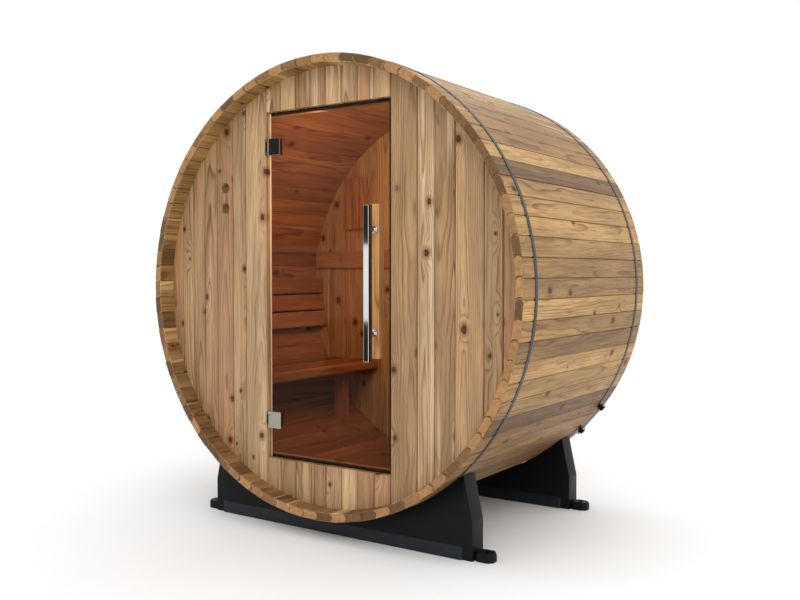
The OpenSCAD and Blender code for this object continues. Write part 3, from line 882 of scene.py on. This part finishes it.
# Nut or washer: a regular outline with its corners drawn in at both faces
def nutRings(x0, x1, radius, sides):
    t = circle(sides)
    c = kit["nutCorner"]
    x = np.array([[x0], [x0 + c], [x1 - c], [x1]])
    r = np.array([[radius - c], [radius], [radius], [radius - c]])
    return ringsOf(x, r * np.cos(t), r * np.sin(t))


# From the tensioner's own frame (along the band, along the barrel, outwards) to the barrel's
def placeTensioner(surface, y, side):
    points, faces = surface
    a = side * math.radians(90 + band["tensioner"])
    x = points[:, 0] * math.cos(a) + points[:, 2] * math.sin(a)
    z = -points[:, 0] * math.sin(a) + points[:, 2] * math.cos(a) + barrel["axisZ"]
    return ringsOf(x, points[:, 1] + y, z), faces


# Two blocks on the band, and the rod between them with its nuts and washers
def tensioner(name, nodeName, side):
    y = middleY(nodeName)
    gap = band["halfGap"]
    half = kit["blockSize"] / 2
    base = math.sqrt((band["radius"] + band["thickness"]) ** 2 - gap ** 2) + kit["seatRoom"]
    rodAt = np.array([0, 0, base + half])
    black = Batch()
    zinc = Batch()
    for s in (-1, 1):
        near, far = sorted((s * (gap + kit["nutRoom"]), s * (gap + kit["blockLength"])))
        block = plank((near, -half, base), (far, half, base + 2 * half), "y", kit["blockRound"], 4)
        black.add(placeTensioner(block, y, side))
        for start, end, radius, sides in kit["nuts"]:
            x0, x1 = sorted((s * (gap + start), s * (gap + end)))
            nut = closedGrid(nutRings(x0, x1, radius, sides) + rodAt)
            zinc.add(placeTensioner(nut, y, side))
    rod = closedGrid(threadedRod(kit["rodRadius"], 2 * kit["rodReach"]) + rodAt)
    zinc.add(placeTensioner(rod, y, side))
    black.build(name + "_blocks", blackSteel, "barrel", "tensioner_black", [nodeName], smooth=35)
    zinc.build(name + "_rod", zincSteel, "barrel", "hinge_steel", [], smooth=35)


tensioner("tensioner_front_kit", "tensioner_front", -1)
tensioner("tensioner_rear_kit", "tensioner_rear", 1)
print("bands made")


cradle = dict(
    halfLength=0.650,
    webHalf=0.0415,  # half thickness of the upright
    top=0.312,
    shoulder=0.145,  # where the ends begin to slope in
    lean=0.036,
    radius=0.9148,  # of the saddle
    soft=0.003,  # rounding along the saddle
    footHalf=0.050,
    footTop=0.048,
    footLean=0.0075,
    footEnd=0.608,
    footFade=0.006,  # length over which the foot ends
    lugHalfWidth=0.030,
    lugHeight=0.035,
    lugCorner=0.016,
    lugSunk=0.004,
    hole=0.008,
)


# Top of a cradle at x: the saddle's arc, or the sloping end where that is lower
def cradleHeight(x):
    c = cradle
    saddle = barrel["axisZ"] - np.sqrt(np.maximum(c["radius"] ** 2 - x ** 2, 0))
    slope = c["shoulder"] + (c["halfLength"] - np.abs(x)) / c["lean"] * (c["top"] - c["shoulder"])
    return np.minimum(np.minimum(saddle, c["top"]), slope)


# A cradle: for each x, an outline in Y and Z with a sloping foot and an upright up to cradleHeight(x)
def cradleRings(y):
    c = cradle
    s = c["soft"]
    web = c["webHalf"]
    inner = c["halfLength"] - c["lean"]
    footStart = c["footEnd"] - c["footFade"]
    slopes = c["halfLength"] - np.linspace(0, c["lean"], 9)[:-1]
    xs = np.unique(np.concatenate([-slopes, np.linspace(-inner, inner, 121), slopes,
                                   [-c["footEnd"], -footStart, footStart, c["footEnd"]]]))
    h = cradleHeight(xs)
    fade = np.clip((c["footEnd"] - np.abs(xs)) / c["footFade"], 0, 1)
    foot = web + (c["footHalf"] - web) * fade
    lean = c["footLean"] * fade
    side = [(foot, 0.0015), (foot, 0.005), (foot - lean * 0.9, c["footTop"] - 0.003),
            (foot - lean, c["footTop"]), (web, c["footTop"] + 0.0005)]
    top = [(-web, h - s), (s * 0.3 - web, h - s * 0.3), (s - web, h),
           (web - s, h), (web - s * 0.3, h - s * 0.3), (web, h - s)]
    base = [(foot - 0.0015, 0), (0.0015 - foot, 0)]
    across, up = outlineTables([(-a, b) for a, b in side] + top + side[::-1] + base, len(xs))
    return ringsOf(xs[:, None], across + y, up)[::-1]


# A lug with an upright hole: for each direction round the hole, an outline from the bore out to the
# clipped rectangle and back. The clipped corner is the smaller of the two reaches to the sides.
def lugRings(x0, x1, y):
    t = circle(64) + 0.01
    halfX = abs(x1 - x0) / 2
    halfY = cradle["lugHalfWidth"]
    height = cradle["lugHeight"]
    hole = cradle["hole"]
    c = np.cos(t)
    s = np.sin(t)
    reach = np.minimum(halfX / np.maximum(np.abs(c), 1e-6), halfY / np.maximum(np.abs(s), 1e-6))
    reach = np.minimum(reach, (halfX + halfY - cradle["lugCorner"]) / (np.abs(c) + np.abs(s)))
    outline = [(hole, 0.0015), (hole, height * 0.8), (hole + 0.002, height * 0.86), (reach * 0.78, height),
               (reach * 0.9, height * 0.97), (reach, height * 0.72), (reach, 0.003), (reach * 0.985, 0.0),
               (hole + 0.0015, 0.0)]
    r, z = outlineTables(outline, len(t))
    return ringsOf((x0 + x1) / 2 + r * c[:, None], y + r * s[:, None], z)[::-1]


# Gives the sloping faces of a foot a lighter, bluer grey: painted sheen where they catch the light
def paintFootSheen(piece, y):
    x, across, z = (readVectors(piece.data.polygons, "center") - [0, y, 0]).T
    outside = np.abs(across) - cradle["webHalf"] > 0.0004
    secondFinish(piece.data, footSheenPlastic, outside & (np.abs(x) < cradle["footEnd"]) & (z > 0.003))


for name, nodeName in (("saddle_front", "cradle_front"), ("saddle_rear", "cradle_rear")):
    y = middleY(nodeName)
    batch = Batch()
    batch.add(closedGrid(cradleRings(y)))
    for s in (-1, 1):
        x0 = s * (cradle["halfLength"] - cradle["lugSunk"])
        batch.add(closedGrid(lugRings(x0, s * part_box(nodeName)[1].x, y), hoop=True))
    paintFootSheen(batch.build(name, cradlePlastic, "barrel", "cradle_plastic", [nodeName], smooth=32), y)
print("cradles made")


trim = dict(
    boardRound=0.003,
    slats=3,
    slatWidth=0.038,
    slatThickness=0.0195,
    crossBehind=0.02,  # the vent cover's cross pieces begin this far behind its face
    crossHalf=0.02,
    stopWidth=0.045,
    paleness=0.8,  # how pale the rail and the vent cover are
    gasketAndShadowSide=0.022,  # how far the gasket's black lips reach in over the glass, wide enough to also paint the shadow in the gap round it
    gasketAndShadowEnds=0.012,
)


# One piece of several planks; each part is (low corner, high corner, direction of the grain)
def boards(name, material, nodeName, parts, pale=0.0):
    batch = Batch()
    for low, high, along in parts:
        lightness, redness, sapShare = anyTone()
        tone = (lightness + (1 - lightness) * pale, redness * (1 - pale), sapShare)
        batch.addWood(plank(low, high, along, trim["boardRound"]), along, tone)
    batch.build(name, material, "barrel", "trim_cedar", [nodeName], smooth=32)


boards("back_rail", shadedRoomWood, "back_wall_rail", [(*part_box("back_wall_rail"), "x")], trim["paleness"])

low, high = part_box("back_vent_cover")
ventParts = []
for x in np.linspace(low.x, high.x - trim["slatWidth"], trim["slats"]):
    ventParts.append(((x, low.y, low.z), (x + trim["slatWidth"], low.y + trim["slatThickness"], high.z), "z"))
quarter = (high.z - low.z) / 4
for z in (low.z + quarter, high.z - quarter):
    ventParts.append(((low.x, low.y + trim["crossBehind"], z - trim["crossHalf"]),
                      (high.x, high.y, z + trim["crossHalf"]), "x"))
boards("vent_slats", shadedRoomWood, "back_vent_cover", ventParts, trim["paleness"])

low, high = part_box("door_stops")
w = trim["stopWidth"]
boards("stop_strips", wallWood, "door_stops", [
    ((high.x - w, low.y, low.z + w), (high.x, high.y, high.z - w), "z"),
    ((low.x, low.y, low.z), (high.x, high.y, low.z + w), "x"),
    ((low.x, low.y, high.z - w), (high.x, high.y, high.z), "x")])

# Black rubber round the glass, widened so that it also paints the shadowed gap between the glass and the jamb
low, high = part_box("door_gasket")
inner = high.x - trim["gasketAndShadowSide"]
e = trim["gasketAndShadowEnds"]
batch = Batch()
batch.add(plank((inner, low.y, low.z), (high.x, high.y, high.z), "z", 0.0025, 4))
batch.add(plank((low.x, low.y, low.z), (inner, high.y, low.z + e), "x", 0.0025, 4))
batch.add(plank((low.x, low.y, high.z - e), (inner, high.y, high.z), "x", 0.0025, 4))
batch.build("gasket", gasketRubber, "barrel", "gasket_black", ["door_gasket"], smooth=40)


bench = dict(
    gap=0.008,  # between the seat's boards
    frontEdge=0.046,  # width of the thicker board in front
    edgeRound=0.012,
    slat=0.082,
    slatThickness=0.028,
    slatRound=0.004,
    legThickness=0.038,
    legWidth=0.064,
    legRound=0.003,
    legFrom=0.0257,  # from the seat's front edge to the post
    rows=9,
    backRadius=0.8164,  # circle that the backrest's boards touch
    backThickness=0.0197,
    backWidth=0.080,
    backHalfStep=0.044,  # half the distance from one board to the next
    backAbove=0.170,  # from the seat to the first board
    cleatAt=0.300,  # from the middle of the barrel, to both sides
    cleatHalf=0.019,
)


# Makes a part of a bench, which is named as its node with one word changed
def buildBench(batch, nodeName, word, newWord):
    name = nodeName.replace(word, newWord)
    batch.build(name, shadedRoomWood, "barrel", "bench_cedar", [nodeName], smooth=32)


# A seat: a thick rounded board in front and three slats behind it
def seat(side, nodeName):
    low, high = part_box(nodeName)
    x = high.x if side < 0 else low.x
    front = (bench["frontEdge"], high.z - low.z, bench["edgeRound"])
    slat = (bench["slat"], bench["slatThickness"], bench["slatRound"])
    batch = Batch()
    for width, thickness, radius in (front, slat, slat, slat):
        x0, x1 = sorted((x, x + side * width))
        batch.addWood(plank((x0, low.y, high.z - thickness), (x1, high.y, high.z), "y", radius, 5), "y")
        x += side * (width + bench["gap"])
    buildBench(batch, nodeName, "seat", "boards")


# Bearers and posts, cut at their outer and lower ends to the round of the staves
def legFrame(side, nodeName):
    low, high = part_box(nodeName)
    near = abs(high.x if side < 0 else low.x)
    thick = bench["legThickness"]
    wide = bench["legWidth"]
    t = np.linspace(0, 1, bench["rows"])[:, None]
    batch = Batch()
    for y in (low.y + thick / 2, high.y - thick / 2):
        loop = roundedLoop(thick, wide, bench["legRound"])
        z = high.z - wide / 2 + loop[:, 1]
        reach = np.sqrt(barrel["lining"] ** 2 - (z - barrel["axisZ"]) ** 2)
        rings = ringsOf(side * (near + (reach - near) * t), y + loop[:, 0], z)
        batch.addWood(closedGrid(rings if side > 0 else rings[::-1]), "x")
        loop = roundedLoop(wide, thick, bench["legRound"])
        x = side * (near + bench["legFrom"] + wide / 2) + loop[:, 0]
        bottom = barrel["axisZ"] - np.sqrt(barrel["lining"] ** 2 - x ** 2)
        top = high.z - wide - 0.0005
        batch.addWood(closedGrid(ringsOf(x, y + loop[:, 1], bottom + (top - bottom) * t)), "z")
    buildBench(batch, nodeName, "frames", "supports")


# Three boards tangent to a circle inside the staves, on cleats that fill the room behind them. A cleat's
# inner side follows the boards' backs: radius = facet / cos(angle from the nearest board's middle).
def backrest(side, nodeName):
    low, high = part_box(nodeName)
    radius = bench["backRadius"]
    half = bench["backWidth"] / 2
    step = 2 * math.asin(bench["backHalfStep"] / radius)
    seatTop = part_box("bench_left_seat")[1].z
    first = math.asin((seatTop + bench["backAbove"] + half - barrel["axisZ"]) / radius)
    batch = Batch()
    for a in (first, first + step, first + 2 * step):
        points, faces = plank((radius, low.y, -half), (radius + bench["backThickness"], high.y, half),
                              "y", bench["slatRound"], 4)
        grain = timber(points, "y")
        x = points[:, 0] * math.cos(a) - points[:, 2] * math.sin(a)
        z = points[:, 0] * math.sin(a) + points[:, 2] * math.cos(a)
        if side < 0:
            faces = [face[::-1] for face in faces]
        batch.add((ringsOf(side * x, points[:, 1], z + barrel["axisZ"]), faces), grain, anyTone())
    t = np.linspace(first - 0.45 * step, first + 2.45 * step, bench["rows"])[:, None]
    facet = radius + bench["backThickness"] + 0.0003
    inner = facet / np.cos((t - first + step / 2) % step - step / 2)
    r = inner + (barrel["lining"] - inner) * np.array([0, 1, 1, 0])
    across = bench["cleatHalf"] * np.array([-1, -1, 1, 1])
    for y in (-bench["cleatAt"], bench["cleatAt"]):
        rings = ringsOf(side * r * np.cos(t), y + across, r * np.sin(t) + barrel["axisZ"])
        batch.addWood(closedGrid(rings if side < 0 else rings[::-1]), "z")
    buildBench(batch, nodeName, "backrest", "back")


for side, word in ((-1, "left"), (1, "right")):
    seat(side, "bench_%s_seat" % word)
    legFrame(side, "bench_%s_frames" % word)
    backrest(side, "bench_%s_backrest" % word)
print("inside made")


# The glass keeps its CAD shape, with its upright edge on the hinge side ground
glassLow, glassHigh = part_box("door_glass")
glassMesh = frame["nodes"]["door_glass"].data
glassMesh.materials.clear()
glassMesh.materials.append(doorGlass)
sideways = np.abs(readVectors(glassMesh.polygons, "normal")[:, 1]) < 0.5
secondFinish(glassMesh, groundGlass, sideways & (readVectors(glassMesh.polygons, "center")[:, 0] < -0.25))

low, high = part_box("handle_bar")
barBack = high.y
batch = Batch()
batch.add(plank(low, high, "z", 0.0018, 4))
batch.build("pull_bar", chrome, "door", "handle_chrome", ["handle_bar"], smooth=40)

low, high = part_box("handle_grip")
batch = Batch()
batch.addWood(plank(low, high, "z", 0.003, 4), "z", (0.6, 0.3, 0.4), slope=0.004)
batch.build("inner_grip", gripWood, "door", "grip_wood", ["handle_grip"], smooth=40)

# Bolt from the bar to the washer before the glass and on through the grip, and its round cap behind the grip
face = glassLow.y
back = high.y
boltProfile = [(tip, barBack), (0.008, barBack), (0.008, face - 0.0035), (0.0135, face - 0.0034),
               (0.0147, face - 0.0026), (0.015, face - 0.0015), (0.015, face - 0.0003),
               (0.0055, face - 0.0003), (0.0050, face + 0.001), (0.0050, back), (tip, back)]
capProfile = [(tip, back + 0.0002), (0.009, back + 0.0002), (0.009, back + 0.0018), (0.0078, back + 0.0035),
              (0.005, back + 0.0045), (tip, back + 0.0049)]
boltLow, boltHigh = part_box("handle_bolts")
batch = Batch()
for z in (boltLow.z + 0.015, boltHigh.z - 0.015):
    batch.add(lathe(boltProfile, ((low.x + high.x) / 2, 0, z), "y", 48))
    batch.add(lathe(capProfile, ((low.x + high.x) / 2, 0, z), "y", 48))
batch.build("through_bolts", chrome, "door", "handle_chrome", ["handle_bolts"], smooth=32)


hingeFit = dict(
    pinIn=0.007,  # the pin's line, from the jamb
    pinAhead=0.003,  # and before the glass
    pinRadius=0.003,
    knuckleRadius=0.005,
    knuckleCorner=0.0005,
    room=0.0003,  # between the glass and the plates
    plateRound=0.0012,
    screwIn=0.016,  # the screws, from the plate's edges
)


# Clamp: two plates on the glass, a web past its edge and the middle knuckle. Leaf: a plate in the jamb
# with the two outer knuckles and the pin.
def hinge(word):
    h = hingeFit
    low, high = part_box("hinge_clamp_" + word)
    k = (high.z - low.z) / 5
    c = h["knuckleCorner"]
    outer = h["knuckleRadius"]
    pin = (-doorHalf + h["pinIn"], glassLow.y - h["pinAhead"], 0)
    plateX = glassLow.x - 0.0006
    z0 = low.z + k + c
    z1 = high.z - k - c
    batch = Batch()
    batch.add(plank((plateX, low.y, low.z), (high.x, glassLow.y - h["room"], high.z), "z", h["plateRound"]))
    batch.add(plank((plateX, glassHigh.y + h["room"], low.z), (high.x, high.y, high.z), "z", h["plateRound"]))
    batch.add(plank((pin[0] + 0.0045, glassLow.y - 0.004, z0),
                    (glassLow.x - h["room"], glassHigh.y + 0.0043, z1), "z", 0.0006, 2))
    batch.add(lathe([(0.0033, z0), (outer - c, z0), (outer, z0 + c), (outer, z1 - c), (outer - c, z1),
                     (0.0033, z1)], pin, "z", 32))
    y = high.y
    screw = [(tip, y - 0.001), (0.005, y - 0.001), (0.005, y + 0.0001), (0.0042, y + 0.0003),
             (0.0024, y + 0.0003), (0.0022, y - 0.0006), (tip, y - 0.0006)]
    for x in (glassLow.x + h["screwIn"], high.x - h["screwIn"]):
        for z in (low.z + h["screwIn"], high.z - h["screwIn"]):
            batch.add(lathe(screw, (x, 0, z), "y", 24))
    batch.build("glass_clamp_" + word, hingeSteel, "door", "hinge_steel", ["hinge_clamp_" + word], smooth=32)

    leafLow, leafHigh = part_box("hinge_leaf_" + word)
    batch = Batch()
    batch.add(plank(leafLow, (-doorHalf, leafHigh.y, leafHigh.z), "z", 0.0005, 2))
    for z0, z1 in ((low.z, low.z + k), (high.z - k, high.z)):
        batch.add(lathe([(tip, z0), (outer - c, z0), (outer, z0 + c), (outer, z1 - c), (outer - c, z1),
                         (tip, z1)], pin, "z", 32))
        batch.add(plank((-doorHalf - 0.0004, pin[1] - outer, z0), (pin[0], pin[1] + outer, z1),
                        "z", 0.0004, 2))
    pinLow = low.z + k
    pinHigh = high.z - k
    batch.add(lathe([(tip, pinLow), (h["pinRadius"], pinLow), (h["pinRadius"], pinHigh), (tip, pinHigh)],
                    pin, "z", 32))
    batch.build("jamb_leaf_" + word, hingeSteel, "barrel", "hinge_steel", ["hinge_leaf_" + word], smooth=32)


hinge("upper")
hinge("lower")
print("door made")


studio = dict(
    cameraAt=(2.2585, -3.3433, 1.062),
    turn=33.95,  # degrees to the left of straight at the door
    tilt=-1.785,  # degrees above level
    lens=40.6,
    sensor=36,
    floorHalf=30.0,
    floorColors=((0.925, 0.93, 0.935), (0.945, 0.95, 0.955)),
    world=1.07,
    # each light: where it hangs, what it points at, the side of its square, its power and its colour
    keyLight=((3.2, -4.2, 4.2), (0, 0, 0.9), 2.2, 60, (1, 0.98, 0.95)),
    topLight=((0.6, 1.2, 4.8), (0, 0, 0.9), 3.6, 35, (1, 1, 1)),
    roomLight=((0.15, -0.40, 1.45), (-0.25, 0.5, 1.45), 0.5, 9, (1, 0.84, 0.70)),
    # each dark card: from and to along X, place in Y, from and to in height
    cardHigh=(-3.4, -0.9, -3.1, 1.26, 2.9),
    cardLow=(-2.1, -1.0, -3.1, 0.30, 0.70),
)

cameraData = bpy.data.cameras.new("camera")
cameraData.lens = studio["lens"]
cameraData.sensor_width = studio["sensor"]
camera = newObject("camera", cameraData)
camera.location = studio["cameraAt"]
camera.rotation_euler = (math.radians(90 + studio["tilt"]), 0, math.radians(studio["turn"]))
bpy.context.scene.camera = camera


# One flat face of the studio
def stageFace(name, corners, material):
    mesh = bpy.data.meshes.new(name)
    mesh.from_pydata(corners, [], [(0, 1, 2, 3)])
    mesh.materials.append(material)
    face = newObject(name, mesh)
    return face


paper = Finish("floorPaper")
cloudy = paper.stretch(paper.noise(paper.place(), 0.8, 3))
paper.surface("Base Color", paper.mix(cloudy, *studio["floorColors"]))
paper.surface("Roughness", 0.9)
paper.surface("Specular IOR Level", 0.1)
f = studio["floorHalf"]
stageFace("floor", [(-f, -f, 0), (f, -f, 0), (f, f, 0), (-f, f, 0)], paper.material)

world = bpy.data.worlds.new("studio")
world.use_nodes = True
world.node_tree.nodes["Background"].inputs[0].default_value = (1, 1, 1, 1)
world.node_tree.nodes["Background"].inputs[1].default_value = studio["world"]
bpy.context.scene.world = world
bpy.context.scene.view_settings.view_transform = "Standard"


# A square lamp turned from its place to its aim, which the camera doesn't see
def softbox(name):
    at, aim, size, power, color = studio[name]
    data = bpy.data.lights.new(name, "AREA")
    data.shape = "RECTANGLE"
    data.size = size
    data.size_y = size
    data.energy = power
    data.color = color
    back = np.array(at, float) - np.array(aim, float)
    back /= np.linalg.norm(back)
    lamp = newObject(name, data)
    lamp.location = at
    lamp.rotation_euler = (math.acos(back[2]), 0, math.atan2(back[1], back[0]) + math.pi / 2)
    lamp.visible_camera = False
    return lamp


# Dark card that only the polished metal mirrors
def card(name):
    x0, x1, y, z0, z1 = studio[name]
    screen = stageFace(name, [(x0, y, z0), (x1, y, z0), (x1, y, z1), (x0, y, z1)], blackSteel)
    screen.visible_camera = False
    screen.visible_diffuse = False
    screen.visible_shadow = False
    screen.visible_transmission = False


softbox("keyLight")
softbox("topLight")
card("cardHigh")
card("cardLow")
softbox("roomLight").visible_glossy = False
print("studio made")
